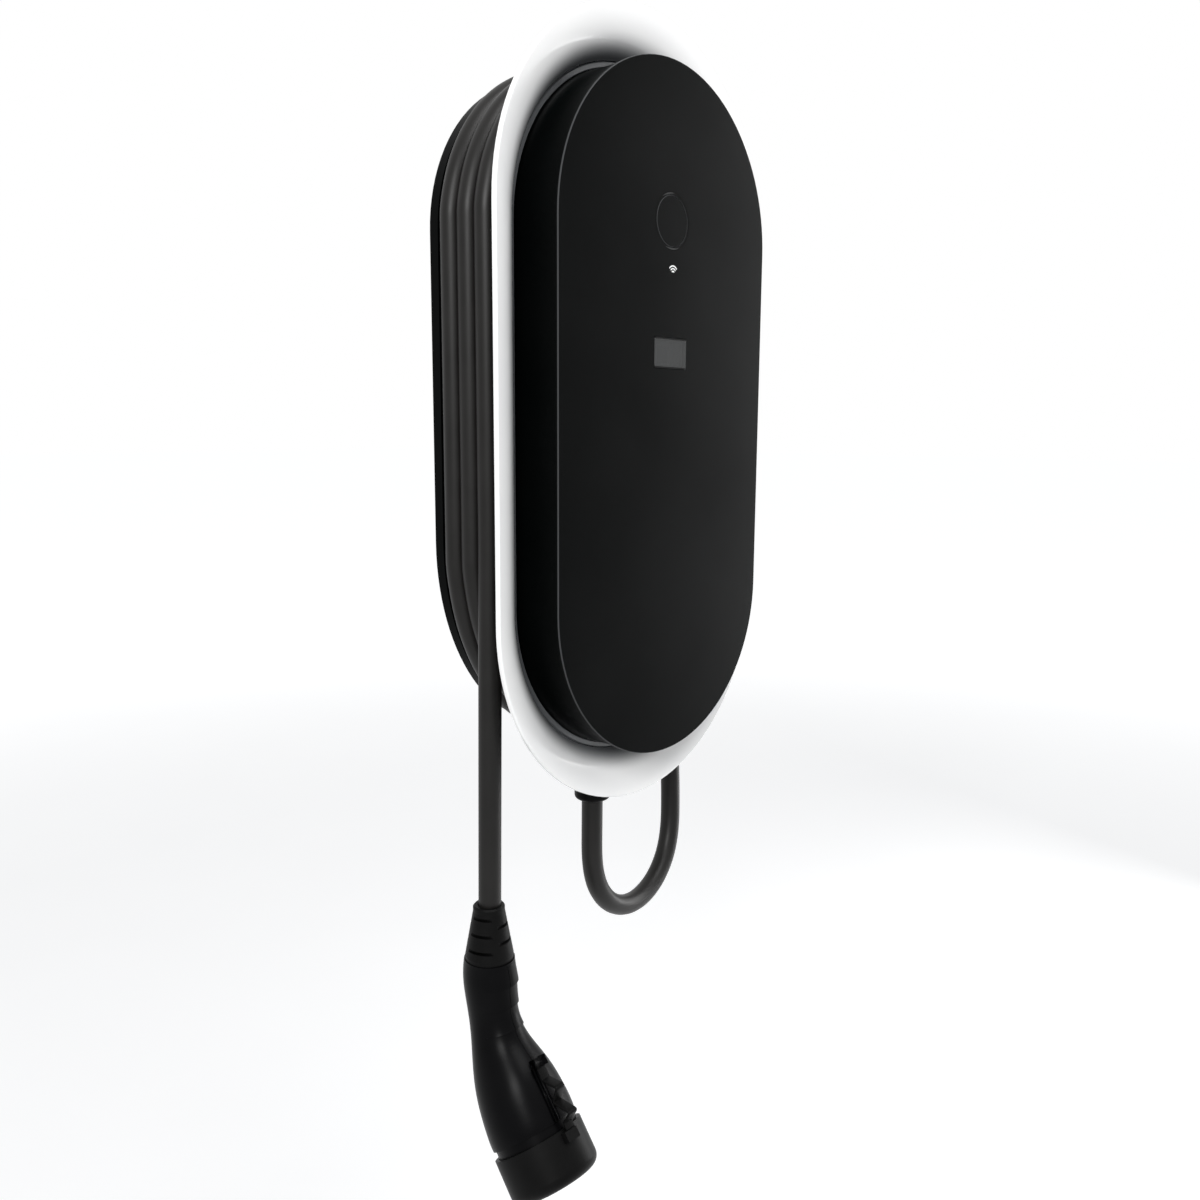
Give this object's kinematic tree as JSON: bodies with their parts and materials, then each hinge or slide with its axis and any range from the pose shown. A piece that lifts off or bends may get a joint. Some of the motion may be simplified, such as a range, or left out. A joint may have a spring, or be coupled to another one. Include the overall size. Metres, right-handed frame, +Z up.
{
  "type": "electric vehicle wall charger",
  "caption": "Capsule-shaped wall charger with a flared collar, a push button, a display window, a cable wound round its back and a hand connector with a cap.",
  "frame": {"origin": "middle of the four wall bolt holes, in the wall plane", "axes": "+Z up, -Y out of the wall towards the user, +X to the right seen from the front"},
  "size_m": [0.2994, 0.1432, 0.8238],
  "materials": {
    "housing": "moulded, fine texture",
    "cover": "satin black",
    "collar": "gloss white",
    "light_ring": "frosted clear",
    "window": "dark tint",
    "button": "satin black",
    "cable": "matte",
    "gland": "moulded",
    "seal": "matte",
    "boot": "matte",
    "grip": "satin black",
    "contact_block": "moulded",
    "contacts": "silver plated",
    "cap": "matte",
    "board": "circuit board",
    "module": "moulded",
    "module_dark": "moulded",
    "steel": "zinc plated"
  },
  "bodies": {
    "root": {"rear_housing": "housing", "front_cover": "cover", "housing_seal": "seal", "collar_ring": "collar", "light_board": "board", "light_guide": "light_ring", "display_window": "window", "button_switch": "module_dark", "button_spring": "steel", "control_board": "board", "reader_board": "board", "power_board": "board", "contactor": "module_dark", "residual_current_sensor": "module_dark", "supply_terminals": "module", "din_rail": "steel", "energy_meter": "module", "supply_grommet": "seal", "gland_body": "gland", "gland_seal": "seal", "gland_nut": "gland", "cable_loop": "cable", "cable_coil": "cable", "cable_drop": "cable", "strain_relief": "boot", "handle_left": "grip", "handle_right": "grip", "cable_clamp": "steel", "plug_shell": "contact_block", "power_contacts": "contacts", "signal_contacts": "contacts", "cap_strap": "cap", "cover_screws": "steel", "board_screws": "steel", "grip_screws": "steel"},
    "button": {"button_cap": "button"},
    "cap": {"plug_cap": "cap"}
  },
  "joints": [
    {"name": "button_press", "type": "slide", "parent": "root", "child": "button", "axis": [0, 1, 0], "range_m": [0, 0.0015], "stiffness_N_per_m": 800, "springref_m": -0.001, "deforming": ["button_spring"]},
    {"name": "cap_pull", "type": "slide", "parent": "root", "child": "cap", "axis": [0, -0.6018, -0.7986], "range_m": [0, 0.04], "deforming": ["cap_strap"]}
  ]
}
